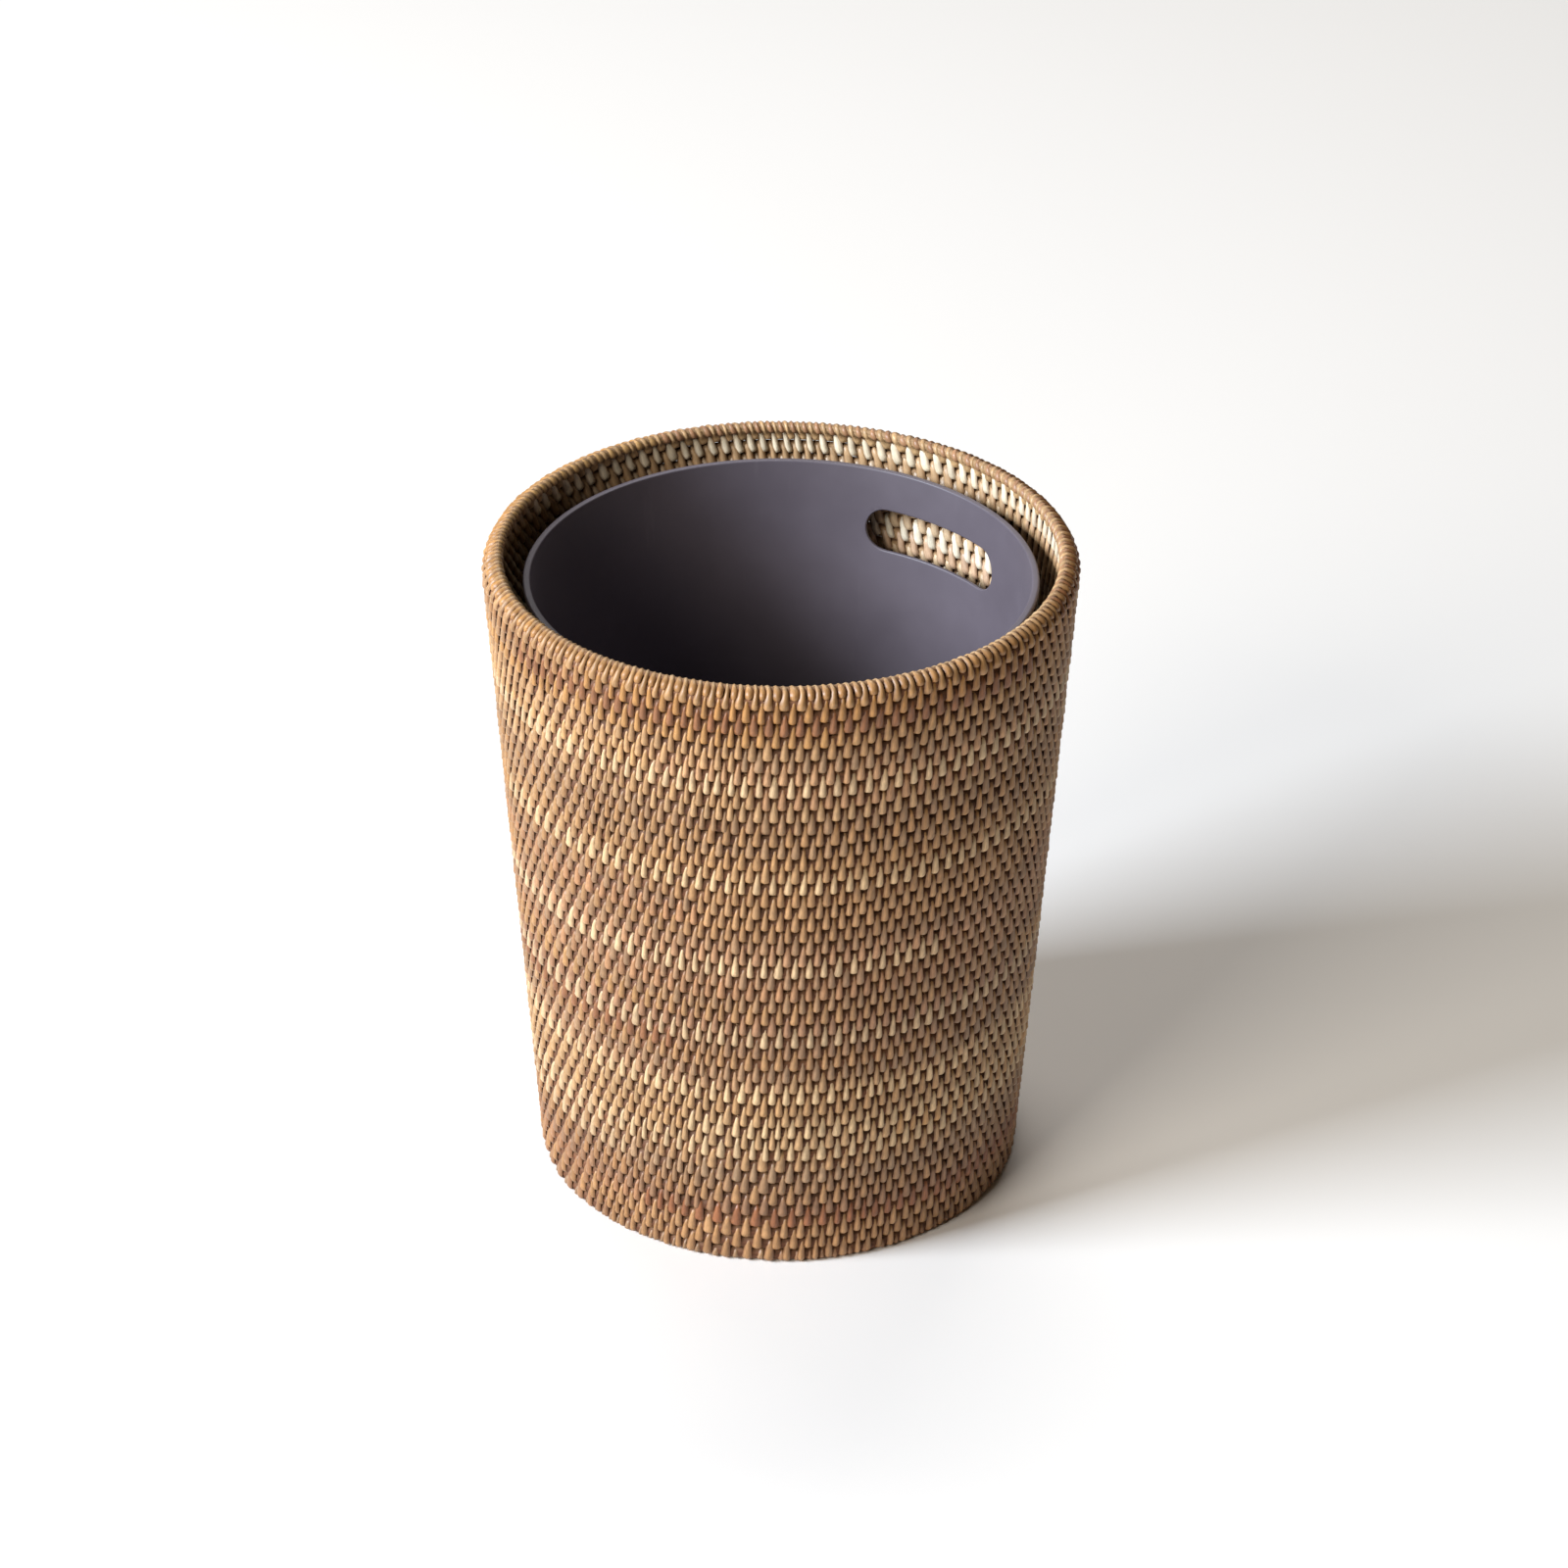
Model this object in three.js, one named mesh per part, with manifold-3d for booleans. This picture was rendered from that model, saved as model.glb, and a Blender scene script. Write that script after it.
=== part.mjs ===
// Round wastebasket: a tapered basket of coiled rattan rods bound with cane strip, and a lift-out
// plastic liner with two finger slots under its rim. Millimetres, +Z up, origin on the floor at the
// centre of the foot, finger slots on +X and -X.
import * as THREE from 'three';
import { mergeVertices } from 'three/addons/utils/BufferGeometryUtils.js';
import Module from 'manifold-3d';

// Driving dimensions of the basket.
const HEIGHT = 302;
const FOOT_RADIUS = 110;
const WIDEST_RADIUS = 130;
const WIDEST_HEIGHT = 294;
const WALL = 7.6; // a rod with cane on both faces
const COURSES = 48; // full turns of rod from foot to rim
const COURSES_PER_ROD = 6; // turns that one length of rod makes before the next is spliced on
const RIM_RISE = 3.2; // how far the thinner rim turn stands above the last full turn
const CANE = 0.9; // thickness of the cane binding
const GAP = 0.3; // between touching pieces
const FOOT_ROUNDING = 2.4;
const BASE_LIFT = 1.6; // underside of the base mat above the floor
const BASE_SPLICE_RADIUS = 60; // where the base's second rod starts
const BASE_HUB_RADIUS = 3; // knot of cane at the centre of the base

// Driving dimensions of the liner.
const LINER_DROP = 12; // liner rim below basket rim
const LINER_RIM_RADIUS = 112.5;
const LINER_FLOOR_RADIUS = 94;
const LINER_WALL = 1.8;
const LINER_BEAD = 1.4; // how far the rim bead stands out of the wall
const LINER_BEAD_HEIGHT = 3.2;
const LINER_CHAMFER = 0.8; // edges of the rim bead
const LINER_CORNER = 7; // outside rounding between floor and wall
const SLOT_LENGTH = 76;
const SLOT_HEIGHT = 20;
const SLOT_DROP = 29; // slot centre below the liner rim

const BASKET_SEGMENTS = 36;
const LINER_SEGMENTS = 60;
const SLOT_CAP_SEGMENTS = 8;

// Worked-out dimensions.
const COURSE = (HEIGHT - RIM_RISE) / COURSES;
const ROD_COUNT = Math.ceil(COURSES / COURSES_PER_ROD);
const BASE_TOP = BASE_LIFT + WALL;
const LINER_BOTTOM = BASE_TOP + GAP;
const LINER_TOP = HEIGHT - LINER_DROP;
const LINER_FLAT_RADIUS = linerRadius(LINER_BOTTOM + LINER_CORNER) - LINER_CORNER;
const SLOT_BOTTOM = LINER_TOP - SLOT_DROP - SLOT_HEIGHT / 2;
const SLOT_TOP = SLOT_BOTTOM + SLOT_HEIGHT;

const CANE_COLOUR = 0xc49a68;
const ROD_COLOUR = 0x6b4a2c;
const LINER_COLOUR = 0x47414c;

const wasm = await Module();
wasm.setup();

const part = new THREE.Group();

function finish(colour, roughness) {
  return new THREE.MeshStandardMaterial({ color: colour, roughness: roughness, metalness: 0 });
}

function addPiece(name, geometry, material) {
  const mesh = new THREE.Mesh(geometry, material);
  mesh.name = name;
  part.add(mesh);
}

// Turns a profile of [radius, height] pairs about the Z axis. The profile runs upward on its outer side.
function turned(profile, segments) {
  const points = profile.map(([radius, height]) => new THREE.Vector2(radius, height));
  const geometry = new THREE.LatheGeometry(points, segments);
  geometry.rotateX(Math.PI / 2);
  return geometry;
}

function turnedRing(profile) {
  return turned([...profile, profile[0]], BASKET_SEGMENTS);
}

function toSolid(geometry) {
  const bare = geometry.clone();
  bare.deleteAttribute('normal');
  bare.deleteAttribute('uv');
  const merged = mergeVertices(bare, 1e-4);
  const mesh = new wasm.Mesh({
    numProp: 3,
    vertProperties: new Float32Array(merged.attributes.position.array),
    triVerts: new Uint32Array(merged.index.array),
  });
  return new wasm.Manifold(mesh);
}

function toGeometry(solid) {
  const mesh = solid.getMesh();
  const geometry = new THREE.BufferGeometry();
  geometry.setAttribute('position', new THREE.BufferAttribute(mesh.vertProperties, 3));
  geometry.setIndex(new THREE.BufferAttribute(mesh.triVerts, 1));
  geometry.computeVertexNormals();
  return geometry;
}

// Outside of the basket wall, which tapers straight from the widest ring to the foot.
function outerRadius(height) {
  return FOOT_RADIUS + (WIDEST_RADIUS - FOOT_RADIUS) * height / WIDEST_HEIGHT;
}

function innerRadius(height) {
  return outerRadius(height) - WALL;
}

// The rods of one stretch of wall, as the closed ring that their stacked turns fill.
function rodStack(bottom, top) {
  const skin = CANE + GAP;
  return [
    [innerRadius(bottom) + skin, bottom],
    [outerRadius(bottom) - skin, bottom],
    [outerRadius(top) - skin, top],
    [innerRadius(top) + skin, top],
  ];
}

// The cane on one stretch of wall: both faces and the turn over its topmost rod.
function wallBinding(bottom, top) {
  const web = top - CANE;
  return [
    [outerRadius(bottom) - CANE, bottom],
    [outerRadius(bottom), bottom],
    [outerRadius(top), top],
    [innerRadius(top), top],
    [innerRadius(bottom), bottom],
    [innerRadius(bottom) + CANE, bottom],
    [innerRadius(web) + CANE, web],
    [outerRadius(web) - CANE, web],
  ];
}

// The lowest stretch is bound round its bottom rod instead, and that turn is the foot.
function footBinding(top) {
  return [
    [innerRadius(0) + FOOT_ROUNDING, 0],
    [outerRadius(0) - FOOT_ROUNDING, 0],
    [outerRadius(FOOT_ROUNDING), FOOT_ROUNDING],
    [outerRadius(top), top],
    [outerRadius(top) - CANE, top],
    [outerRadius(FOOT_ROUNDING) - CANE, FOOT_ROUNDING],
    [outerRadius(0) - FOOT_ROUNDING, CANE],
    [innerRadius(0) + FOOT_ROUNDING, CANE],
    [innerRadius(FOOT_ROUNDING) + CANE, FOOT_ROUNDING],
    [innerRadius(top) + CANE, top],
    [innerRadius(top), top],
    [innerRadius(FOOT_ROUNDING), FOOT_ROUNDING],
  ];
}

function footRods(top) {
  const [, , outerTop, innerTop] = rodStack(0, top);
  return [
    [innerRadius(0) + FOOT_ROUNDING, CANE + GAP],
    [outerRadius(0) - FOOT_ROUNDING, CANE + GAP],
    [outerRadius(FOOT_ROUNDING) - CANE - GAP, FOOT_ROUNDING + GAP],
    outerTop,
    innerTop,
    [innerRadius(FOOT_ROUNDING) + CANE + GAP, FOOT_ROUNDING + GAP],
  ];
}

// The rim course is drawn inward, so the wall closes in a rounded lip above its widest ring.
function rimLip(inset, steps) {
  const halfWidth = WALL / 2 - inset;
  const rise = HEIGHT - WIDEST_HEIGHT - inset;
  const lean = 1.8;
  const middle = WIDEST_RADIUS - WALL / 2;
  const points = [];
  for (let step = 0; step <= steps; step += 1) {
    const angle = Math.PI * step / steps;
    const lift = rise * Math.sin(angle);
    points.push([middle + halfWidth * Math.cos(angle) - lean * Math.sin(angle), WIDEST_HEIGHT + lift]);
  }
  return points;
}

function rimBinding(bottom) {
  return [
    [outerRadius(bottom) - CANE, bottom],
    [outerRadius(bottom), bottom],
    ...rimLip(0, 6),
    [innerRadius(bottom), bottom],
    [innerRadius(bottom) + CANE, bottom],
    ...rimLip(CANE, 4).reverse(),
  ];
}

function rimRods(bottom) {
  const skin = CANE + GAP;
  return [
    [innerRadius(bottom) + skin, bottom],
    [outerRadius(bottom) - skin, bottom],
    ...rimLip(skin, 4),
  ];
}

// The lengths of rod, each with its own run of binding, stacked from foot to rim.
function addWall() {
  const cane = finish(CANE_COLOUR, 0.6);
  const rod = finish(ROD_COLOUR, 0.75);
  for (let index = 1; index <= ROD_COUNT; index += 1) {
    const bottom = (index - 1) * COURSES_PER_ROD * COURSE + GAP;
    const top = index * COURSES_PER_ROD * COURSE;
    let binding = wallBinding(bottom, top);
    let rods = rodStack(bottom, top - CANE - GAP);
    if (index === 1) {
      binding = footBinding(top);
      rods = footRods(top);
    }
    if (index === ROD_COUNT) {
      binding = rimBinding(bottom);
      rods = rimRods(bottom);
    }
    addPiece(`wall_rod_${index}`, turnedRing(rods), rod);
    addPiece(`wall_binding_${index}`, turnedRing(binding), cane);
  }
}

// One stretch of the base mat, bound round its innermost turn and open toward the next stretch.
function baseBinding(inner, web, outer) {
  return [
    [inner, BASE_LIFT],
    [outer, BASE_LIFT],
    [outer, BASE_LIFT + CANE],
    [web, BASE_LIFT + CANE],
    [web, BASE_TOP - CANE],
    [outer, BASE_TOP - CANE],
    [outer, BASE_TOP],
    [inner, BASE_TOP],
  ];
}

function baseRods(inner, outer) {
  const skin = CANE + GAP;
  return [
    [inner, BASE_LIFT + skin],
    [outer, BASE_LIFT + skin],
    [outer, BASE_TOP - skin],
    [inner, BASE_TOP - skin],
  ];
}

function addBase() {
  const cane = finish(CANE_COLOUR, 0.6);
  const rod = finish(ROD_COLOUR, 0.75);
  const edge = innerRadius(BASE_LIFT) - GAP;
  const web = BASE_SPLICE_RADIUS + CANE;
  const inside = baseBinding(0, BASE_HUB_RADIUS, BASE_SPLICE_RADIUS - GAP);
  addPiece('base_binding_1', turned(inside, BASKET_SEGMENTS), cane);
  addPiece('base_rod_1', turnedRing(baseRods(BASE_HUB_RADIUS + GAP, BASE_SPLICE_RADIUS - GAP)), rod);
  addPiece('base_binding_2', turnedRing(baseBinding(BASE_SPLICE_RADIUS, web, edge)), cane);
  addPiece('base_rod_2', turnedRing(baseRods(web + GAP, edge)), rod);
}

function linerRadius(height) {
  const rise = (height - LINER_BOTTOM) / (LINER_TOP - LINER_BOTTOM);
  const wallTop = LINER_RIM_RADIUS - LINER_BEAD;
  return LINER_FLOOR_RADIUS + (wallTop - LINER_FLOOR_RADIUS) * rise;
}

// A quarter turn from the floor up into the wall, offset inward by the given thickness.
function linerCorner(offset) {
  const radius = LINER_CORNER - offset;
  return [-90, -60, -30, 0].map((degrees) => {
    const angle = THREE.MathUtils.degToRad(degrees);
    const height = LINER_BOTTOM + LINER_CORNER + radius * Math.sin(angle);
    return [LINER_FLAT_RADIUS + radius * Math.cos(angle), height];
  });
}

function linerFloor() {
  const edge = LINER_FLAT_RADIUS - GAP;
  return [
    [0, LINER_BOTTOM],
    [edge, LINER_BOTTOM],
    [edge, LINER_BOTTOM + LINER_WALL],
    [0, LINER_BOTTOM + LINER_WALL],
  ];
}

function linerWall() {
  return [
    ...linerCorner(0),
    [linerRadius(SLOT_BOTTOM), SLOT_BOTTOM],
    [linerRadius(SLOT_BOTTOM) - LINER_WALL, SLOT_BOTTOM],
    ...linerCorner(LINER_WALL).reverse(),
  ];
}

function linerBand() {
  const bottom = SLOT_BOTTOM + GAP;
  const top = SLOT_TOP - GAP;
  return [
    [linerRadius(bottom), bottom],
    [linerRadius(top), top],
    [linerRadius(top) - LINER_WALL, top],
    [linerRadius(bottom) - LINER_WALL, bottom],
  ];
}

function linerRim() {
  const under = LINER_TOP - LINER_BEAD_HEIGHT;
  const inside = linerRadius(LINER_TOP) - LINER_WALL;
  return [
    [linerRadius(SLOT_TOP), SLOT_TOP],
    [linerRadius(under), under],
    [LINER_RIM_RADIUS, under + LINER_CHAMFER],
    [LINER_RIM_RADIUS, LINER_TOP - LINER_CHAMFER],
    [LINER_RIM_RADIUS - LINER_CHAMFER, LINER_TOP],
    [inside + LINER_CHAMFER, LINER_TOP],
    [inside, LINER_TOP - LINER_CHAMFER],
    [linerRadius(SLOT_TOP) - LINER_WALL, SLOT_TOP],
  ];
}

// A straight cutter along X that opens both finger slots at once.
function slotCutter() {
  const capRadius = SLOT_HEIGHT / 2;
  const capCentre = SLOT_LENGTH / 2 - capRadius;
  const reach = WIDEST_RADIUS;
  const outline = new THREE.Shape();
  outline.absarc(capCentre, 0, capRadius, -Math.PI / 2, Math.PI / 2, false);
  outline.absarc(-capCentre, 0, capRadius, Math.PI / 2, 3 * Math.PI / 2, false);
  const settings = { depth: 2 * reach, bevelEnabled: false, curveSegments: SLOT_CAP_SEGMENTS };
  const geometry = new THREE.ExtrudeGeometry(outline, settings);
  geometry.translate(0, 0, -reach);
  geometry.rotateX(Math.PI / 2);
  geometry.rotateZ(Math.PI / 2);
  geometry.translate(0, 0, (SLOT_BOTTOM + SLOT_TOP) / 2);
  return geometry;
}

// Everything on one side of the plane through both slots' middles: side is 1 for +Y and -1 for -Y.
function halfSpace(side) {
  const reach = 2 * WIDEST_RADIUS;
  const geometry = new THREE.BoxGeometry(reach, WIDEST_RADIUS, HEIGHT);
  geometry.translate(0, side * WIDEST_RADIUS / 2, HEIGHT / 2);
  return geometry;
}

// The liner is one moulding, made here as a floor, a wall, the two stretches between its slots and a
// rim, so that each is a simple shape and the slots stay open.
function addLiner() {
  const plastic = finish(LINER_COLOUR, 0.55);
  const ring = (profile) => turned([...profile, profile[0]], LINER_SEGMENTS);
  const slottedBand = toSolid(ring(linerBand())).subtract(toSolid(slotCutter()));
  addPiece('liner_floor', turned(linerFloor(), LINER_SEGMENTS), plastic);
  addPiece('liner_wall', ring(linerWall()), plastic);
  addPiece('liner_band_1', toGeometry(slottedBand.intersect(toSolid(halfSpace(1)))), plastic);
  addPiece('liner_band_2', toGeometry(slottedBand.intersect(toSolid(halfSpace(-1)))), plastic);
  addPiece('liner_rim', ring(linerRim()), plastic);
}

addWall();
addBase();
addLiner();

export default part;
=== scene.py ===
"""A round wastebasket of coiled rattan bound with cane, with a lift-out plastic liner."""

import math

import bmesh
import bpy
import numpy as np
from mathutils import Matrix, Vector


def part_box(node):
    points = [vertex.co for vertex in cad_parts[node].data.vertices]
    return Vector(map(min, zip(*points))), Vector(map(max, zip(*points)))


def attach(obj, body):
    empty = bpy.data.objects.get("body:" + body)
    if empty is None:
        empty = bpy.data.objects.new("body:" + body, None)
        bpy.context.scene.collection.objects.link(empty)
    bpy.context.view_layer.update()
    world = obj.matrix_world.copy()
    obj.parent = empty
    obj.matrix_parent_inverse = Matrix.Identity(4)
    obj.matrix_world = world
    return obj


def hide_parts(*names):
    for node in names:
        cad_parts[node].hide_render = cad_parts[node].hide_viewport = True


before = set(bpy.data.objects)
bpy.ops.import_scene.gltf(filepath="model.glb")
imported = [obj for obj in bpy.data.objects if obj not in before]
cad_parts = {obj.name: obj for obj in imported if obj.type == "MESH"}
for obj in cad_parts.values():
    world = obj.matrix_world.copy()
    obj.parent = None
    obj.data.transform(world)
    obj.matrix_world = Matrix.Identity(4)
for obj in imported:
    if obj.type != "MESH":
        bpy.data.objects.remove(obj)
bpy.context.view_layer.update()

MM = 0.001
SEED = 11

# The coil. Sizes are in metres.
TURNS_PER_LENGTH = 6
WALL = 7.6 * MM
ROD_RADIUS = 2.6 * MM
ROD_SQUEEZE = 1.2  # a pressed rod is taller than it is thick
RIM_ROD_RADIUS = 2.2 * MM  # the last turn is a thinner rod, set in towards the inside
RIM_ROD_INSET = 2.6 * MM
RIM_HALF = 2.2 * MM
PITCH = 6.75 * MM  # from one long stitch to the next along a turn
CANE_EDGE_DROP = 1.2 * MM
FLOOR_CLEARANCE = 0.05 * MM
HUB_INSET = 5.3 * MM  # from the first turn of the base to the knot that it is stitched to

# How unlike each other the stitches are: the standard deviation of each measure.
SPACING_SPREAD = 0.03  # of the pitch
LIFT_SPREAD = 0.1 * MM
LEAN_SPREAD = 0.035  # of the pitch
WIDTH_SPREAD = 0.06
SLIDE_SPREAD = 0.18 * MM

# The liner.
LINER_WALL = 1.8 * MM
LINER_BEAD = 1.4 * MM
LINER_BEAD_HEIGHT = 3.2 * MM
LINER_CORNER = 7 * MM
SLOT_LENGTH = 76 * MM
SLOT_EDGE = 0.6 * MM
LINER_SEGMENTS = 180

# The camera looks down into the mouth from the front left of the slots.
CAMERA_AZIMUTH = -49.0
CAMERA_ELEVATION = 30.4
CAMERA_DISTANCE = 2.16
CAMERA_AIM_HEIGHT = 0.1835
CAMERA_LENS = 111.0
CAMERA_ROLL = 0.26
CAMERA_SHIFT = 0.0024
SENSOR_WIDTH = 36.0

# The studio. Each lamp: bearing from the camera's own, elevation in degrees, size in metres, power in watts
# and colour. The main light is cool and comes from the left, and what is left in its shade is lit warmly.
LAMP_DISTANCE = 3.8
LAMP_AIM_HEIGHT = 0.15
LAMPS = {
    "key": (-70, 30, 1.4, 215, (0.96, 1.07, 1.24)),
    "front": (-40, 30, 1.4, 74, (1.0, 0.96, 0.9)),
    "back": (172, 58, 1.6, 50, (1.0, 1.0, 1.0)),
    "back_left": (-150, 45, 1.6, 18, (1.0, 1.0, 1.0)),
}
SKY_COLOUR = (1.0, 0.74, 0.5, 1)
SKY_STRENGTH = 0.035
FLOOR_RADIUS = 6.0
FLOOR_SEGMENTS = 96
FLOOR_COLOUR = (0.86, 0.82, 0.76, 1)
FLOOR_ROUGHNESS = 0.9

rng = np.random.default_rng(SEED)


# ---------------------------------------------------------------- the run of the coil

def frame_nodes(prefix):
    """The CAD nodes with that prefix, in order of their numbers."""
    names = [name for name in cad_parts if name.startswith(prefix)]
    return sorted(names, key=lambda name: int(name.rsplit("_", 1)[1]))


def lay_turns():
    """Every turn of rod from the base's centre to the rim, in the order it was laid."""
    wall_nodes = frame_nodes("wall_binding_")
    first, last_straight, rim = (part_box(wall_nodes[i])[1] for i in (0, -2, -1))
    course = first.z / TURNS_PER_LENGTH
    slope = (last_straight.x - first.x) / (last_straight.z - first.z)
    base_low, base_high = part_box("base_binding_2")
    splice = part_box("base_binding_1")[1].x
    turns = []
    base_count = int(base_high.x / course)
    for index in range(base_count):
        radius = base_high.x - (base_count - index - 0.5) * course
        length = 1 if radius < splice else 2
        turns.append({"radius": radius, "height": (base_low.z + base_high.z) / 2, "out": (0.0, -1.0),
                      "along": (1.0, 0.0), "rod": ROD_RADIUS, "where": f"base_{{}}_{length}"})
    tilt = math.hypot(1.0, slope)
    for index in range(len(wall_nodes) * TURNS_PER_LENGTH):
        height = (index + 0.5) * course
        radius = min(first.x + slope * (height - first.z), rim.x) - WALL / 2
        turns.append({"radius": radius, "height": height, "out": (1 / tilt, -slope / tilt),
                      "along": (slope / tilt, 1 / tilt), "rod": ROD_RADIUS,
                      "where": f"wall_{{}}_{1 + index // TURNS_PER_LENGTH}"})
    turns.append({"radius": rim.x - WALL / 2 - RIM_ROD_INSET, "height": rim.z - RIM_HALF, "out": (1.0, 0.0),
                  "along": (0.0, 1.0), "rod": RIM_ROD_RADIUS, "where": turns[-1]["where"]})
    return turns, base_count


def next_row(below, wanted):
    """Angles of a new row's stitches, each between two of the row below, with a few let in to fill out."""
    closed = np.append(below, below[0] + 2 * math.pi)
    spare = max(0, wanted - len(below))
    doubled = set()
    if spare:
        start = rng.uniform(0, len(below))
        doubled = {int(start + k * len(below) / spare) % len(below) for k in range(spare)}
    angles = []
    for index in range(len(below)):
        gap = closed[index + 1] - closed[index]
        shares = (1 / 3, 2 / 3) if index in doubled else (1 / 2,)
        angles += [closed[index] + gap * share for share in shares]
    angles = np.array(angles)
    for _ in range(2):
        before = np.roll(angles, 1)
        after = np.roll(angles, -1)
        before[0] -= 2 * math.pi
        after[-1] += 2 * math.pi
        angles += 0.2 * (before + after - 2 * angles)
    spacing = 2 * math.pi / len(angles)
    return angles + rng.normal(0, SPACING_SPREAD * spacing, len(angles))


# ---------------------------------------------------------------- colours of the rattan

# The cane's shades: straw, honey, gold, rose tan, ash tan, cream and russet, each with how often it turns up.
CANE_SHADES = (
    ((0.43, 0.238, 0.101), 5),
    ((0.40, 0.210, 0.083), 4),
    ((0.44, 0.220, 0.070), 2),
    ((0.40, 0.200, 0.090), 4),
    ((0.33, 0.190, 0.094), 3),
    ((0.58, 0.395, 0.212), 3),
    ((0.28, 0.112, 0.043), 1),
)
INSIDE_PALING_AND_PAINTED_LIGHT = np.array((1.4, 1.8, 2.5))  # painted paler on the inside: partly cane tanned less than the outside, partly painted light on the inner wall
SHADE_SPREAD = 1.05  # how far a strip goes from the basket's mean towards its own shade
STRIP_STITCHES = (24, 90)  # the fewest and the most stitches that one strip makes
# Painted shade: the dark brown that each strip's edges fade to, for the shade in the gaps between stitches.
STRIP_EDGE_PAINTED_SHADE = (0.16, 0.062, 0.02, 1)
# The rods show only in the gaps between stitches. Painted shade: the outer side is near black for the shade
# in those gaps, and the inner side is painted lighter, as the gaps inside are less deeply shaded.
ROD_OUTSIDE_PAINTED_SHADE = np.array((0.1, 0.03, 0.008))
ROD_INSIDE_PAINTED_LIGHT = np.array((0.34, 0.21, 0.1))


class CaneSupply:
    """Hands out the shade of each stitch: one strip of cane makes a run of stitches, then the next begins."""

    def __init__(self):
        shares = np.array([share for _, share in CANE_SHADES], float)
        self.shares = shares / shares.sum()
        self.mean = self.shares @ np.array([shade for shade, _ in CANE_SHADES])
        self.bundle = self.mean
        self.left = 0
        self.shade = None

    def next_strip(self):
        """A new strip: strips cut from the same cane follow each other, so the shade drifts slowly."""
        picked = np.array(CANE_SHADES[rng.choice(len(CANE_SHADES), p=self.shares)][0])
        self.bundle = 0.7 * self.bundle + 0.3 * (self.mean + SHADE_SPREAD * (picked - self.mean))
        own = self.bundle + 0.6 * SHADE_SPREAD * (picked - self.mean)
        self.shade = own * rng.uniform(0.93, 1.07)
        self.left = int(rng.integers(*STRIP_STITCHES))

    def take(self, count):
        tones = np.zeros((count, 3))
        for index in range(count):
            if self.left == 0:
                self.next_strip()
            self.left -= 1
            tones[index] = self.shade * rng.uniform(0.88, 1.12)
        return tones


# ---------------------------------------------------------------- mesh gathering

class Bundle:
    """Gathers many small sheets into one mesh that keeps each strip's shade and its own coordinates."""

    def __init__(self):
        self.points = []
        self.faces = []
        self.tones = []
        self.places = []
        self.count = 0

    def add(self, points, faces, tones, places):
        self.points.append(points)
        self.faces.append(faces + self.count)
        self.tones.append(tones)
        self.places.append(places)
        self.count += len(points)

    def to_object(self, name):
        points = np.concatenate(self.points)
        faces = np.concatenate(self.faces)
        mesh = bpy.data.meshes.new(name)
        mesh.vertices.add(len(points))
        mesh.vertices.foreach_set("co", points.astype(np.float32).ravel())
        mesh.loops.add(faces.size)
        mesh.loops.foreach_set("vertex_index", faces.astype(np.int32).ravel())
        mesh.polygons.add(len(faces))
        mesh.polygons.foreach_set("loop_start", np.arange(0, faces.size, 4, dtype=np.int32))
        mesh.update(calc_edges=True)
        mesh.shade_smooth()
        tone = mesh.attributes.new("tone", "FLOAT_COLOR", "POINT")
        colours = np.concatenate(self.tones)
        colours = np.hstack([colours, np.ones((len(colours), 1))])
        tone.data.foreach_set("color", colours.astype(np.float32).ravel())
        place = mesh.attributes.new("strip", "FLOAT_VECTOR", "POINT")
        place.data.foreach_set("vector", np.concatenate(self.places).astype(np.float32).ravel())
        piece = bpy.data.objects.new(name, mesh)
        bpy.context.scene.collection.objects.link(piece)
        return piece


def grid_faces(count, rows, columns):
    """Quads of count separate grids of rows by columns points."""
    row, column = np.meshgrid(np.arange(rows - 1), np.arange(columns - 1), indexing="ij")
    corner = (row * columns + column).ravel()
    quad = np.stack([corner, corner + 1, corner + columns + 1, corner + columns], -1)
    return (quad[None] + (np.arange(count) * rows * columns)[:, None, None]).reshape(-1, 4)


# ---------------------------------------------------------------- stitches

# A strip's section: place across its half width, and depth below its crown.
SECTION = np.array([(-1.0, 1.0), (-0.6, 0.32), (0.0, 0.0), (0.6, 0.32), (1.0, 1.0)])

# One face of a long stitch, from where it comes out between two turns, over the upper turn and the
# lower one, to where it goes in again. Each step: turn, place along the wall, height off the rods'
# middle plane, lean in parts of the pitch, width on the outside and on the inside. Lengths in millimetres.
LONG_STITCH = (
    ("upper", 2.7, 0.9, 0.5, 1.7, 2.8),
    ("upper", 1.8, 2.3, 0.42, 2.1, 3.2),
    ("upper", 0.3, 3.1, 0.25, 2.5, 3.5),
    ("upper", -1.5, 3.4, 0.05, 2.9, 3.7),
    ("lower", 1.4, 3.8, -0.12, 3.4, 3.9),
    ("lower", -0.1, 3.95, -0.3, 3.7, 3.9),
    ("lower", -1.5, 3.4, -0.42, 3.7, 3.7),
    ("lower", -2.3, 1.6, -0.48, 3.0, 2.9),
)
OUTSIDE_LEAN = 0.12
INSIDE_LEAN = 0.65

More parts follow.
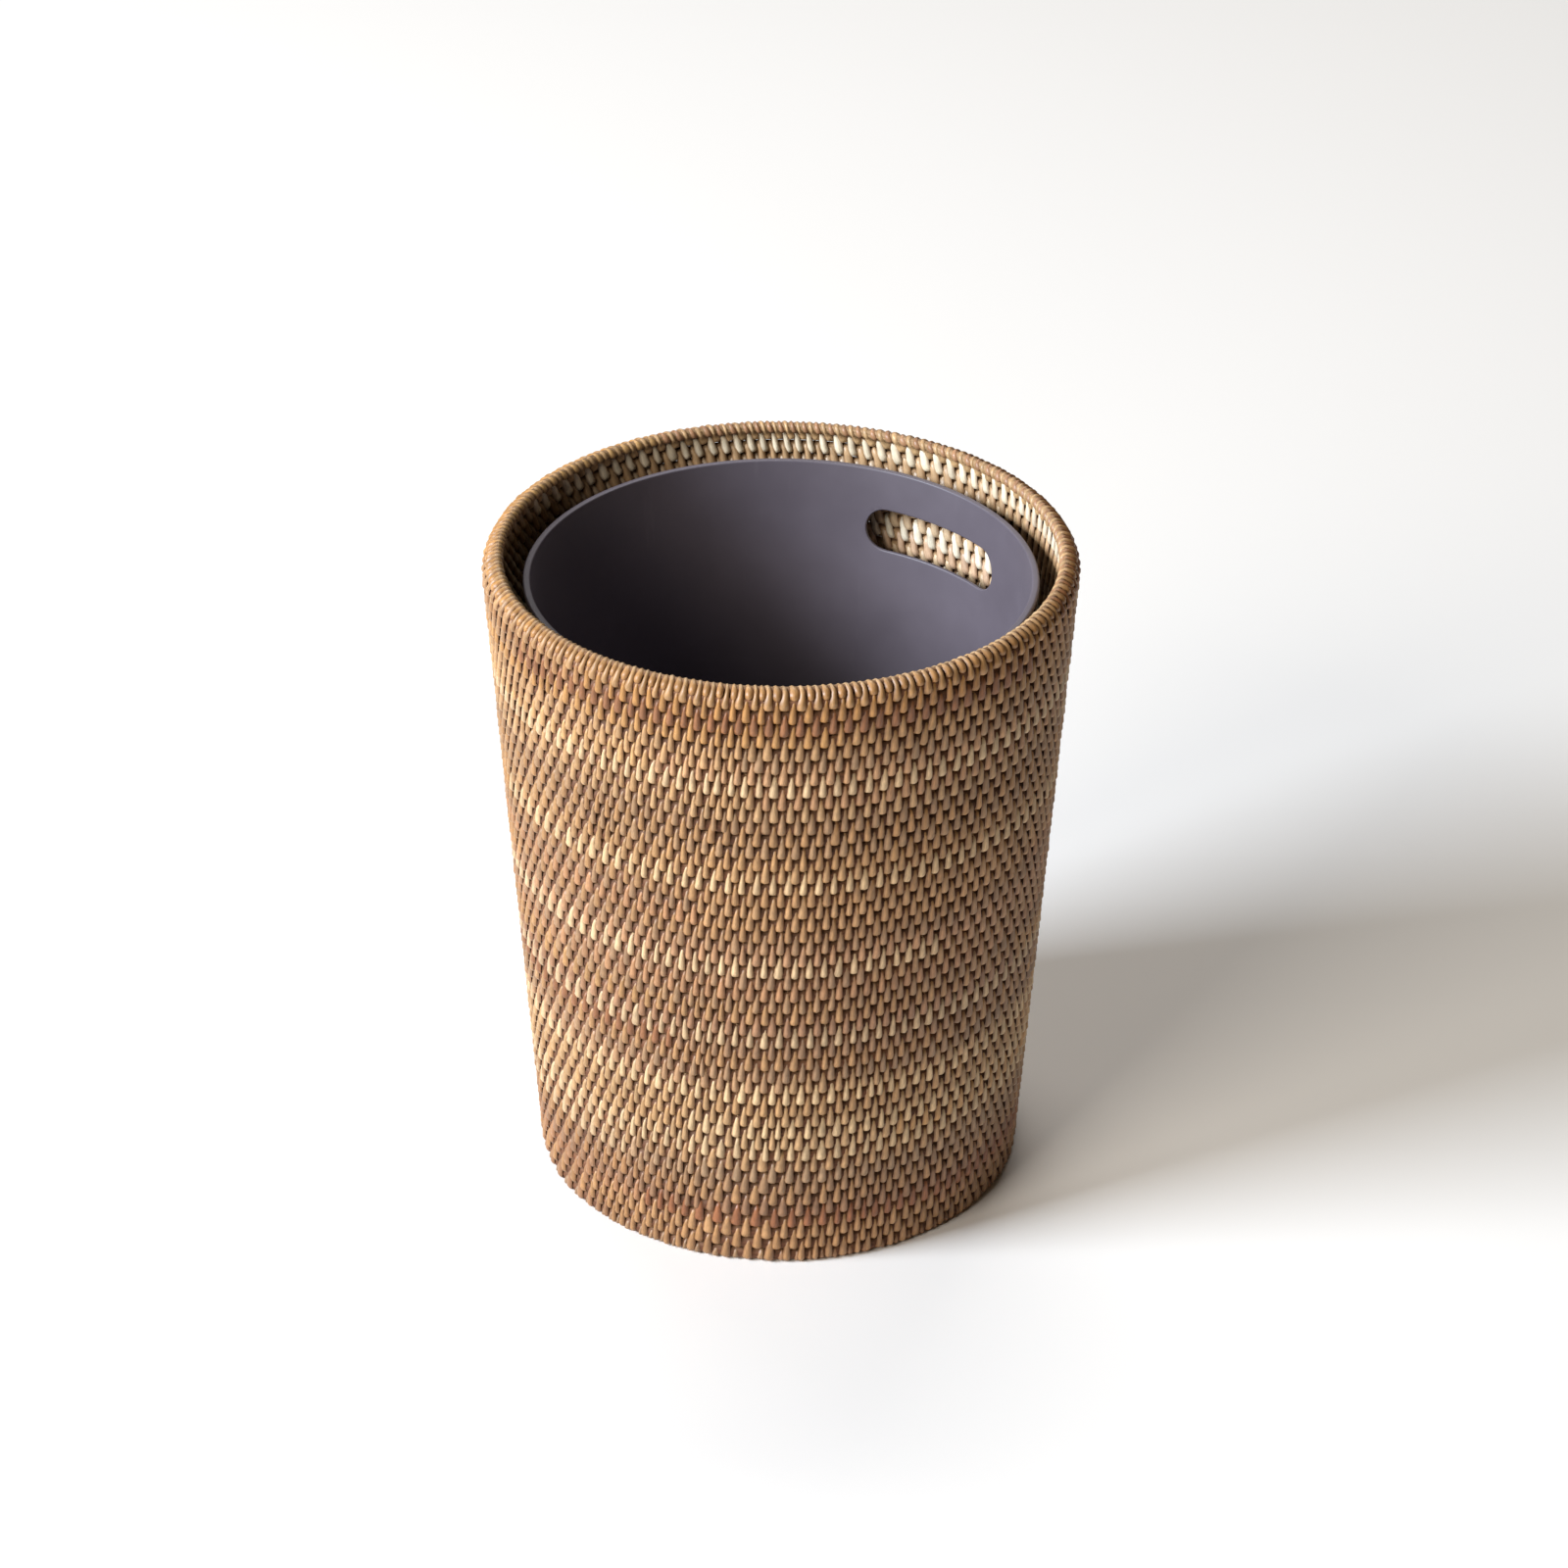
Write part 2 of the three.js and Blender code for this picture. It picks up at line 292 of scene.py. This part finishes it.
# The turn over the rim, by angle round the rim rod from straight outward, with its distance from the
# rod's middle, the shift along the rim in parts of the pitch, and the width. The first kind ends long
# outside, the second long inside.
RIM_OUTSIDE_LONG = (
    (240, 2.2, -0.34, 2.8), (218, 2.9, -0.3, 3.2), (195, 3.0, -0.25, 3.3), (168, 2.95, -0.18, 3.2),
    (140, 2.9, -0.12, 3.0), (114, 2.9, -0.07, 2.8), (88, 2.9, -0.02, 2.7), (62, 3.0, 0.02, 2.5),
    (36, 3.4, 0.05, 2.4), (14, 4.2, 0.06, 2.4), (-8, 5.2, 0.04, 2.6),
)
RIM_INSIDE_LONG = (
    (205, 3.0, -0.25, 2.4), (180, 2.95, -0.18, 2.3), (152, 2.9, -0.12, 2.5),
    (124, 2.9, -0.07, 2.8), (98, 2.9, -0.02, 3.2), (72, 2.95, 0.02, 3.4), (46, 3.2, 0.05, 3.5),
    (22, 4.0, 0.07, 3.5), (2, 4.9, 0.07, 3.5), (-16, 5.3, 0.06, 3.4), (-28, 4.7, 0.05, 3.0),
)


class Path:
    """The line that a row's stitches follow in the wall's own section."""

    def __init__(self):
        self.steps = []

    def along(self, turn, along, off, side, shift, width):
        """A step beside a turn: side is 1 on the outside and -1 on the inside."""
        out = np.array(turn["out"]) * side
        centre = np.array((turn["radius"], turn["height"]))
        place = centre + np.array(turn["along"]) * along * MM + out * off * MM
        self.steps.append((*place, *out, shift, width * MM))

    def around(self, turn, degrees, off, shift, width):
        """A step at an angle round a turn, from straight outward through the rim's top."""
        angle = math.radians(degrees)
        out = np.array(turn["out"]) * math.cos(angle) + np.array(turn["along"]) * math.sin(angle)
        place = np.array((turn["radius"], turn["height"])) + out * off * MM
        self.steps.append((*place, *out, shift, width * MM))

    def table(self):
        return np.array(self.steps)


def add_strips(bundle, path, angles, pitch_angles, tones, loose=1.0):
    """One strip of cane along the path at each angle, every one a little different."""
    count = len(angles)
    radius, height, out_r, out_z, shift, width = path.T
    lift = rng.normal(0, LIFT_SPREAD, count) * loose
    lean = rng.normal(0, LEAN_SPREAD, count) * loose
    girth = np.clip(rng.normal(1, WIDTH_SPREAD, count), 0.85, 1.15)
    slide = rng.normal(0, SLIDE_SPREAD, count) * loose
    fit = np.clip(pitch_angles * radius.max() / PITCH, 0.8, 1.2)
    halfway = np.linspace(1, -1, len(radius))
    phi = angles[:, None] + (shift[None] + lean[:, None] * halfway[None]) * pitch_angles[:, None]
    reach = radius[None] + lift[:, None] * out_r[None]
    level = height[None] + lift[:, None] * out_z[None] + slide[:, None] * abs(out_r[None])
    level = np.maximum(level, FLOOR_CLEARANCE)
    centre = np.stack([reach * np.cos(phi), reach * np.sin(phi), level], -1)
    normal = np.stack([out_r * np.cos(phi), out_r * np.sin(phi), out_z + 0 * phi], -1)
    tangent = np.gradient(centre, axis=1)
    across = np.cross(tangent, normal)
    across /= np.linalg.norm(across, axis=-1, keepdims=True)
    half = width[None] / 2 * (girth * fit)[:, None]
    points = (
        centre[:, :, None]
        + across[:, :, None] * half[:, :, None, None] * SECTION[None, None, :, :1]
        - normal[:, :, None] * CANE_EDGE_DROP * SECTION[None, None, :, 1:]
    )
    points[..., 2] = np.maximum(points[..., 2], FLOOR_CLEARANCE)
    run = np.concatenate([[0], np.cumsum(np.linalg.norm(np.diff(path[:, :2], axis=0), axis=1))])
    places = np.zeros(points.shape)
    places[..., 0] = SECTION[None, None, :, 0]
    places[..., 1] = run[None, :, None] / MM
    places[..., 2] = rng.uniform(0, 50, count)[:, None, None]
    # Painted light: strips are painted paler the more they face inwards. Inner faces get the full paling, and
    # the rim's top and the base get half of it.
    paling_and_painted_light = 1 + (1 - out_r)[:, None, None] / 2 * (INSIDE_PALING_AND_PAINTED_LIGHT - 1)
    shades = np.broadcast_to(tones[:, None, None] * paling_and_painted_light, points.shape)
    faces = grid_faces(count, len(radius), len(SECTION))
    bundle.add(points.reshape(-1, 3), faces, shades.reshape(-1, 3), places.reshape(-1, 3))


def long_path(upper, lower, side, lean):
    path = Path()
    turning = abs(np.dot(upper["out"], lower["out"])) < 0.5
    for which, along, off, shift, *widths in LONG_STITCH:
        if turning and which == "lower" and along > 0:
            path.around(upper, -45, 3.2, -0.1 * lean, 2.9)
            path.around(upper, -85, 2.9, -0.15 * lean, 3.1)
        turn = upper if which == "upper" else lower
        path.along(turn, along, off, side, shift * lean, widths[0 if side > 0 else 1])
    return path.table()


def gaps_after(angles):
    """The angle from each stitch to the next."""
    return np.diff(np.append(angles, angles[0] + 2 * math.pi))


def stitch_everything(turns, base_count):
    """The cane of the whole basket, gathered by the CAD node that each stitch belongs to."""
    bundles = {}
    cane = CaneSupply()
    angles = np.linspace(0, 2 * math.pi, 6, endpoint=False)
    hub = {**turns[0], "radius": turns[0]["radius"] - HUB_INSET}
    rows = []
    for index, upper in enumerate(turns):
        lower = turns[index - 1] if index else hub
        if index:
            around = math.pi * (upper["radius"] + lower["radius"])
            angles = next_row(angles, round(around / PITCH))
        rows.append((upper, lower, angles))
    drift = 0.25 * 2 * math.pi / len(rows[-1][2])
    drifts = []
    for *_, angles in reversed(rows):
        drifts.append(drift)
        drift -= 0.5 * INSIDE_LEAN * 2 * math.pi / len(angles)
    for index, ((upper, lower, angles), drift) in enumerate(zip(rows, reversed(drifts))):
        bundle = bundles.setdefault(upper["where"].format("binding"), Bundle())
        gaps = gaps_after(angles)
        tones = cane.take(len(angles))
        if index == len(turns) - 1:
            stitch_rim(bundle, upper, lower, angles, gaps, tones, cane)
            continue
        add_strips(bundle, long_path(upper, lower, 1, OUTSIDE_LEAN), angles, gaps, tones)
        if index != base_count:
            inside = long_path(upper, lower, -1, INSIDE_LEAN)
            add_strips(bundle, inside, angles + drift, gaps, tones)
    return bundles


def stitch_rim(bundle, upper, lower, angles, gaps, tones, cane):
    """The last row laps over the rim: every other turn of the strip is long on each face."""
    outside = Path()
    for degrees, off, shift, width in RIM_OUTSIDE_LONG:
        outside.around(upper, degrees, off, shift, width)
    for which, along, off, shift, width, _ in LONG_STITCH:
        if which == "lower":
            outside.along(lower, along, off, 1, shift * OUTSIDE_LEAN, width)
    add_strips(bundle, outside.table(), angles, gaps, tones, loose=0.7)
    inside = Path()
    for which, along, off, shift, _, width in reversed(LONG_STITCH):
        if which == "lower":
            inside.along(lower, along, off, -1, shift * INSIDE_LEAN - 0.3, width)
    for degrees, off, shift, width in RIM_INSIDE_LONG:
        inside.around(upper, degrees, off, shift, width)
    add_strips(bundle, inside.table(), angles + gaps / 2, gaps, cane.take(len(angles)), loose=0.7)


def add_ring(bundle, turn, around=84, section=8):
    """One closed turn of rod, with painted shade on its outer side and painted light on its inner side."""
    radius = turn["rod"]
    phi = np.linspace(0, 2 * math.pi, around, endpoint=False)
    psi = np.linspace(0, 2 * math.pi, section, endpoint=False)
    reach = turn["radius"] + radius * np.cos(psi)[None]
    level = np.maximum(turn["height"] + radius * ROD_SQUEEZE * np.sin(psi), FLOOR_CLEARANCE)
    points = np.stack(
        [
            reach * np.cos(phi)[:, None],
            reach * np.sin(phi)[:, None],
            np.broadcast_to(level[None], (around, section)),
        ],
        -1,
    ).reshape(-1, 3)
    a, b = np.meshgrid(np.arange(around), np.arange(section), indexing="ij")
    after, beside = (a + 1) % around, (b + 1) % section
    faces = np.stack(
        [a * section + b, after * section + b, after * section + beside, a * section + beside], -1
    ).reshape(-1, 4)
    # Painted shade: the rod's outer half blends towards the near-black shaded tone, its inner half towards
    # the lighter one.
    outside = (1 + np.cos(psi)) / 2
    tone = ROD_OUTSIDE_PAINTED_SHADE * outside[:, None] + ROD_INSIDE_PAINTED_LIGHT * (1 - outside)[:, None]
    tone = np.tile(tone * rng.uniform(0.75, 1.3), (around, 1))
    which = np.full(len(points), turn["height"])
    places = np.stack([np.repeat(phi * 40, section), np.tile(psi, around), which], -1)
    bundle.add(points, faces, tone, places)


def coil_everything(turns):
    bundles = {}
    for turn in turns:
        bundle = bundles.setdefault(turn["where"].format("rod"), Bundle())
        add_ring(bundle, turn)
    return bundles


def add_hub_knot(bundle, turn):
    """The small crossed knot of cane that starts the coil at the centre of the base."""
    for side in (1, -1):
        for degrees in (20, 80, 140):
            path = Path()
            for reach in (-4.0, -2.6, 0.0, 2.6, 4.0):
                off = 3.9 - 0.09 * reach * reach + degrees * 0.002
                centre = {**turn, "radius": reach * MM}
                path.along(centre, 0, off, side, 0, 2.6)
            tones = np.array([CANE_SHADES[1][0]]) * 0.9
            angle = np.array([math.radians(degrees)])
            add_strips(bundle, path.table(), angle, np.array([0.1]), tones, loose=0.3)


# ---------------------------------------------------------------- materials

def new_material(name):
    material = bpy.data.materials.new(name)
    material.use_nodes = True
    tree = material.node_tree
    shader = tree.nodes["Principled BSDF"]
    return material, tree, shader


def add_node(tree, kind, **values):
    node = tree.nodes.new(kind)
    for key, value in values.items():
        setattr(node, key, value)
    return node


def mix_colour(tree, factor, first, second, blend="MIX"):
    """A colour mix whose inputs are sockets or values."""
    node = add_node(tree, "ShaderNodeMix", data_type="RGBA", blend_type=blend)
    for socket, value in ((0, factor), (6, first), (7, second)):
        if isinstance(value, bpy.types.NodeSocket):
            tree.links.new(value, node.inputs[socket])
        else:
            node.inputs[socket].default_value = value
    return node.outputs[2]


def map_range(tree, value, low, high, to_low, to_high):
    node = add_node(tree, "ShaderNodeMapRange")
    tree.links.new(value, node.inputs["Value"])
    for name, number in (("From Min", low), ("From Max", high), ("To Min", to_low), ("To Max", to_high)):
        node.inputs[name].default_value = number
    return node.outputs["Result"]


def noise(tree, vector, scale, detail=4.0, roughness=0.6):
    node = add_node(tree, "ShaderNodeTexNoise")
    node.inputs["Scale"].default_value = scale
    node.inputs["Detail"].default_value = detail
    node.inputs["Roughness"].default_value = roughness
    tree.links.new(vector, node.inputs["Vector"])
    return node.outputs["Fac"]


def stretch(tree, vector, scale):
    node = add_node(tree, "ShaderNodeVectorMath", operation="MULTIPLY")
    tree.links.new(vector, node.inputs[0])
    node.inputs[1].default_value = scale
    return node.outputs["Vector"]


def make_cane():
    """Split cane: fine fibres along the strip, painted shade on its edges where they dip into the gaps, odd
    stains, a satin skin.
    """
    material, tree, shader = new_material("cane")
    tone = add_node(tree, "ShaderNodeAttribute", attribute_name="tone").outputs["Color"]
    strip = add_node(tree, "ShaderNodeAttribute", attribute_name="strip").outputs["Vector"]
    fibres = noise(tree, stretch(tree, strip, (6.0, 0.35, 3.1)), 1.0, 5.0, 0.65)
    stains = noise(tree, stretch(tree, strip, (0.6, 0.22, 7.7)), 1.0, 3.0, 0.5)
    apart = add_node(tree, "ShaderNodeSeparateXYZ")
    tree.links.new(strip, apart.inputs[0])
    edge = add_node(tree, "ShaderNodeMath", operation="ABSOLUTE")
    tree.links.new(apart.outputs["X"], edge.inputs[0])
    fibre_light = map_range(tree, fibres, 0.3, 0.7, 0.72, 1.2)
    stain_light = map_range(tree, stains, 0.35, 0.75, 1.08, 0.78)
    colour = mix_colour(tree, 1.0, tone, fibre_light, "MULTIPLY")
    colour = mix_colour(tree, 1.0, colour, stain_light, "MULTIPLY")
    # Painted shade: the strip darkens towards its edges, where it dips into the gaps between stitches.
    edge_painted_shade = map_range(tree, edge.outputs[0], 0.55, 1.0, 0.0, 0.75)
    colour = mix_colour(tree, edge_painted_shade, colour, STRIP_EDGE_PAINTED_SHADE)
    tree.links.new(colour, shader.inputs["Base Color"])
    tree.links.new(map_range(tree, fibres, 0.3, 0.7, 0.5, 0.32), shader.inputs["Roughness"])
    bump = add_node(tree, "ShaderNodeBump")
    bump.inputs["Strength"].default_value = 0.5
    bump.inputs["Distance"].default_value = 0.15 * MM
    shader.inputs["Specular IOR Level"].default_value = 0.5
    tree.links.new(fibres, bump.inputs["Height"])
    tree.links.new(bump.outputs["Normal"], shader.inputs["Normal"])
    return material


def make_rod():
    """The round core of the rattan: dull and brown, with soft streaks along its length."""
    material, tree, shader = new_material("rattan_rod")
    tone = add_node(tree, "ShaderNodeAttribute", attribute_name="tone").outputs["Color"]
    strip = add_node(tree, "ShaderNodeAttribute", attribute_name="strip").outputs["Vector"]
    streaks = noise(tree, stretch(tree, strip, (0.4, 3.0, 900.0)), 1.0, 4.0, 0.6)
    colour = mix_colour(tree, 1.0, tone, map_range(tree, streaks, 0.3, 0.7, 0.65, 1.3), "MULTIPLY")
    tree.links.new(colour, shader.inputs["Base Color"])
    tree.links.new(map_range(tree, streaks, 0.3, 0.7, 0.85, 0.65), shader.inputs["Roughness"])
    bump = add_node(tree, "ShaderNodeBump")
    bump.inputs["Strength"].default_value = 0.4
    bump.inputs["Distance"].default_value = 0.2 * MM
    tree.links.new(streaks, bump.inputs["Height"])
    tree.links.new(bump.outputs["Normal"], shader.inputs["Normal"])
    return material


def make_plastic():
    """Matt moulded plastic with a fine spark texture, a little scuffed in paler patches."""
    material, tree, shader = new_material("liner_plastic")
    where = add_node(tree, "ShaderNodeTexCoord").outputs["Object"]
    grain = noise(tree, where, 2600.0, 2.0, 0.5)
    cloud = noise(tree, where, 14.0, 4.0, 0.6)
    scuffs = noise(tree, stretch(tree, where, (90.0, 90.0, 9.0)), 1.0, 6.0, 0.7)
    colour = mix_colour(tree, map_range(tree, cloud, 0.35, 0.65, 0.0, 1.0), (0.103, 0.087, 0.102, 1),
                        (0.122, 0.103, 0.121, 1))
    colour = mix_colour(tree, map_range(tree, scuffs, 0.62, 0.8, 0.0, 0.35), colour, (0.19, 0.165, 0.185, 1))
    tree.links.new(colour, shader.inputs["Base Color"])
    tree.links.new(map_range(tree, cloud, 0.3, 0.7, 0.42, 0.55), shader.inputs["Roughness"])
    bump = add_node(tree, "ShaderNodeBump")
    bump.inputs["Strength"].default_value = 0.25
    bump.inputs["Distance"].default_value = 0.05 * MM
    tree.links.new(grain, bump.inputs["Height"])
    tree.links.new(bump.outputs["Normal"], shader.inputs["Normal"])
    return material


# ---------------------------------------------------------------- the liner

def quarter(centre, radius, start, end, steps):
    """Points on an arc in the (radius, height) plane, by degrees."""
    return [
        (centre[0] + radius * math.cos(math.radians(a)), centre[1] + radius * math.sin(math.radians(a)))
        for a in np.linspace(start, end, steps)
    ]


class LinerShape:
    """The liner's sizes as the frame gives them."""

    def __init__(self):
        wall_low, wall_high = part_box("liner_wall")
        rim_low, rim_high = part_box("liner_rim")
        self.bottom, self.top = wall_low.z, rim_high.z
        self.rim = rim_high.x
        self.slot_bottom, self.slot_top = wall_high.z, rim_low.z
        self.slope = (self.rim - LINER_BEAD - wall_high.x) / (self.top - wall_high.z)

    def outer(self, height):
        return self.rim - LINER_BEAD + self.slope * (height - self.top)

    def profile(self):
        corner_height = self.bottom + LINER_CORNER
        corner = (self.outer(corner_height) - LINER_CORNER, corner_height)
        bead_low = self.top - LINER_BEAD_HEIGHT
        round_out, round_in = 1.0 * MM, 0.7 * MM
        inside = self.outer(self.top) - LINER_WALL
        wall_rows = np.concatenate([
            np.linspace(corner_height + 12 * MM, self.slot_bottom - 4 * MM, 14),
            np.linspace(self.slot_bottom - 1.5 * MM, self.slot_top + 1.5 * MM, 8),
        ])
        points = [(0.0, self.bottom), (corner[0] * 0.5, self.bottom)]
        points += quarter(corner, LINER_CORNER, -90, 0, 8)
        points += [(self.outer(z), z) for z in wall_rows]
        points += [(self.outer(bead_low - 1.2 * MM), bead_low - 1.2 * MM)]
        points += [(self.outer(bead_low) + 0.25 * MM, bead_low - 0.2 * MM)]
        points += quarter((self.rim - 0.6 * MM, bead_low + 0.6 * MM), 0.6 * MM, -80, 0, 4)
        points += quarter((self.rim - round_out, self.top - round_out), round_out, 0, 90, 6)
        points += quarter((inside + round_in, self.top - round_in), round_in, 90, 180, 5)
        points += [(self.outer(z) - LINER_WALL, z) for z in wall_rows[::-1]]
        points += quarter(corner, LINER_CORNER - LINER_WALL, 0, -90, 8)
        points += [(corner[0] * 0.5, self.bottom + LINER_WALL), (0.0, self.bottom + LINER_WALL)]
        return points

    def slot_outline(self, spread):
        """Points round one slot, as (length along the wall, height)."""
        cap = (self.slot_top - self.slot_bottom) / 2
        level = (self.slot_top + self.slot_bottom) / 2
        straight = SLOT_LENGTH / 2 - cap
        turns = np.radians(np.linspace(-90, 90, 17))
        reach = cap + spread
        right = [(straight + reach * math.cos(a), level + reach * math.sin(a)) for a in turns]
        left = [(-x, 2 * level - z) for x, z in right]
        run = np.linspace(straight, -straight, 14)[1:-1]
        upper = [(x, level + reach) for x in run]
        lower = [(-x, level - reach) for x in run]
        return right + upper + left + lower

    def slot_layers(self):
        """How the cutter widens from the middle of the wall to both faces: (depth, spread)."""
        turns = np.radians((0, 30, 60, 90))
        outer = [(SLOT_EDGE * (1 - math.cos(a)), SLOT_EDGE * (1 - math.sin(a))) for a in turns]
        inner = [(LINER_WALL - depth, spread) for depth, spread in reversed(outer)]
        return [(-4 * MM, SLOT_EDGE), *outer, *inner, (LINER_WALL + 4 * MM, SLOT_EDGE)]


def turned_mesh(profile, segments):
    """A surface of revolution whose profile starts and ends on the axis."""
    work = bmesh.new()
    rings = []
    for radius, height in profile:
        if radius == 0:
            rings.append([work.verts.new((0, 0, height))])
            continue
        angles = [2 * math.pi * k / segments for k in range(segments)]
        rings.append([work.verts.new((radius * math.cos(a), radius * math.sin(a), height)) for a in angles])
    for lower, upper in zip(rings, rings[1:]):
        for k in range(segments):
            after = (k + 1) % segments
            corners = [lower[k % len(lower)], lower[after % len(lower)]]
            corners += [upper[after % len(upper)], upper[k % len(upper)]]
            work.faces.new(list(dict.fromkeys(corners)))
    return work


def to_object(work, name):
    mesh = bpy.data.meshes.new(name)
    bmesh.ops.recalc_face_normals(work, faces=work.faces)
    work.to_mesh(mesh)
    work.free()
    piece = bpy.data.objects.new(name, mesh)
    bpy.context.scene.collection.objects.link(piece)
    return piece


def slot_cutter(shape, facing):
    """A plug that follows the wall's curve and widens at both faces, so that the slot's edges are rounded."""
    work = bmesh.new()
    middle = shape.outer(shape.slot_top) - LINER_WALL / 2
    rings = []
    for depth, spread in shape.slot_layers():
        ring = []
        for along, height in shape.slot_outline(spread):
            radius = shape.outer(height) - depth
            angle = facing + along / middle
            ring.append(work.verts.new((radius * math.cos(angle), radius * math.sin(angle), height)))
        rings.append(ring)
    for lower, upper in zip(rings, rings[1:]):
        for k in range(len(lower)):
            after = (k + 1) % len(lower)
            work.faces.new((lower[k], lower[after], upper[after], upper[k]))
    for ring, (depth, _) in ((rings[0], shape.slot_layers()[0]), (rings[-1], shape.slot_layers()[-1])):
        level = (shape.slot_top + shape.slot_bottom) / 2
        radius = shape.outer(level) - depth
        centre = work.verts.new((radius * math.cos(facing), radius * math.sin(facing), level))
        for k in range(len(ring)):
            work.faces.new((ring[k], ring[(k + 1) % len(ring)], centre))
    return to_object(work, "slot_cutter")


def make_liner():
    shape = LinerShape()
    liner = to_object(turned_mesh(shape.profile(), LINER_SEGMENTS), "plastic_liner")
    cutters = [slot_cutter(shape, facing) for facing in (0.0, math.pi)]
    for cutter in cutters:
        cut = liner.modifiers.new("slot", "BOOLEAN")
        cut.operation = "DIFFERENCE"
        cut.solver = "EXACT"
        cut.object = cutter
    settled = bpy.data.meshes.new_from_object(liner.evaluated_get(bpy.context.evaluated_depsgraph_get()))
    liner.modifiers.clear()
    liner.data = settled
    for cutter in cutters:
        bpy.data.objects.remove(cutter)
    liner.data.shade_smooth()
    liner.data.set_sharp_from_angle(angle=math.radians(38))
    return liner


# ---------------------------------------------------------------- putting it together

def finish_piece(piece, material, body, nodes):
    piece.data.materials.append(material)
    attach(piece, body)
    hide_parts(*nodes)


def build_basket():
    cane, rod = make_cane(), make_rod()
    turns, base_count = lay_turns()
    stitches = stitch_everything(turns, base_count)
    add_hub_knot(stitches["base_binding_1"], turns[0])
    for node, bundle in stitches.items():
        finish_piece(bundle.to_object(f"cane_{node}"), cane, "basket", [node])
    for node, bundle in coil_everything(turns).items():
        finish_piece(bundle.to_object(f"coil_{node}"), rod, "basket", [node])


def build_liner():
    nodes = [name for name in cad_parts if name.startswith("liner_")]
    finish_piece(make_liner(), make_plastic(), "liner_body", nodes)


def direction(azimuth, elevation):
    """The way out from the basket, by angles in radians; azimuth 0 is the front, at -Y."""
    level = math.cos(elevation)
    return np.array([math.sin(azimuth) * level, -math.cos(azimuth) * level, math.sin(elevation)])


def add_camera():
    """A long lens, turned a little about its own axis."""
    azimuth, elevation = math.radians(CAMERA_AZIMUTH), math.radians(CAMERA_ELEVATION)
    data = bpy.data.cameras.new("camera")
    data.lens = CAMERA_LENS
    data.sensor_width = SENSOR_WIDTH
    data.shift_x = CAMERA_SHIFT
    camera = bpy.data.objects.new("camera", data)
    bpy.context.scene.collection.objects.link(camera)
    camera.location = direction(azimuth, elevation) * CAMERA_DISTANCE + np.array([0, 0, CAMERA_AIM_HEIGHT])
    turn = Matrix.Rotation(azimuth, 4, "Z") @ Matrix.Rotation(math.pi / 2 - elevation, 4, "X")
    camera.rotation_euler = (turn @ Matrix.Rotation(math.radians(CAMERA_ROLL), 4, "Z")).to_euler()
    bpy.context.scene.camera = camera


def add_lamp(name, bearing, elevation, size, power, colour):
    """A square soft light aimed at the basket."""
    a, e = math.radians(CAMERA_AZIMUTH + bearing), math.radians(elevation)
    data = bpy.data.lights.new(name, "AREA")
    data.size = size
    data.energy = power
    data.color = colour
    lamp = bpy.data.objects.new(name, data)
    bpy.context.scene.collection.objects.link(lamp)
    lamp.location = direction(a, e) * LAMP_DISTANCE + np.array([0, 0, LAMP_AIM_HEIGHT])
    lamp.rotation_euler = (math.pi / 2 - e, 0, a)


def add_studio():
    floor = to_object(turned_mesh([(0.0, 0.0), (FLOOR_RADIUS, 0.0)], FLOOR_SEGMENTS), "floor")
    material, _, shader = new_material("floor")
    shader.inputs["Base Color"].default_value = FLOOR_COLOUR
    shader.inputs["Roughness"].default_value = FLOOR_ROUGHNESS
    floor.data.materials.append(material)
    world = bpy.data.worlds.new("studio")
    world.use_nodes = True
    world.node_tree.nodes["Background"].inputs["Color"].default_value = SKY_COLOUR
    world.node_tree.nodes["Background"].inputs["Strength"].default_value = SKY_STRENGTH
    bpy.context.scene.world = world
    for name, lamp in LAMPS.items():
        add_lamp(name, *lamp)


build_basket()
build_liner()
add_camera()
add_studio()
bpy.context.scene.view_settings.view_transform = "Standard"
